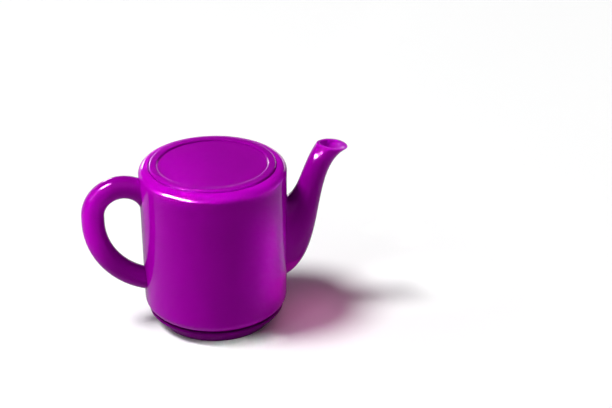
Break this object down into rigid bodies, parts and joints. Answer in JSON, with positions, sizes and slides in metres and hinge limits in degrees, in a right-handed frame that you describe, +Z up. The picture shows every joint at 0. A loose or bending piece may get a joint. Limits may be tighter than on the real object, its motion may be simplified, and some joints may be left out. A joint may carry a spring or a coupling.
{
  "type": "toy kettle",
  "caption": "Pretend-play kettle in glossy purple plastic: round body on a narrower foot, flush press-in lid that lifts out, ear handle and swan-neck pouring spout.",
  "frame": {"origin": "centre of the foot's underside, on the surface that the kettle stands on", "axes": "+Z up along the body's axis, +X towards the spout, handle along -X, Y across the middle plane"},
  "size_m": [0.1281, 0.07, 0.0865],
  "materials": {
    "purple_plastic": "glossy, slightly translucent moulded plastic"
  },
  "bodies": {
    "kettle": {"body_shell": "purple_plastic", "base_plug": "purple_plastic", "handle_front_shell": "purple_plastic", "handle_rear_shell": "purple_plastic", "spout_front_shell": "purple_plastic", "spout_rear_shell": "purple_plastic"},
    "lid": {"lid": "purple_plastic"}
  },
  "joints": [
    {"name": "lid_lift", "type": "slide", "parent": "kettle", "child": "lid", "axis": [0, 0, 1], "range_m": [0, 0.03]}
  ]
}
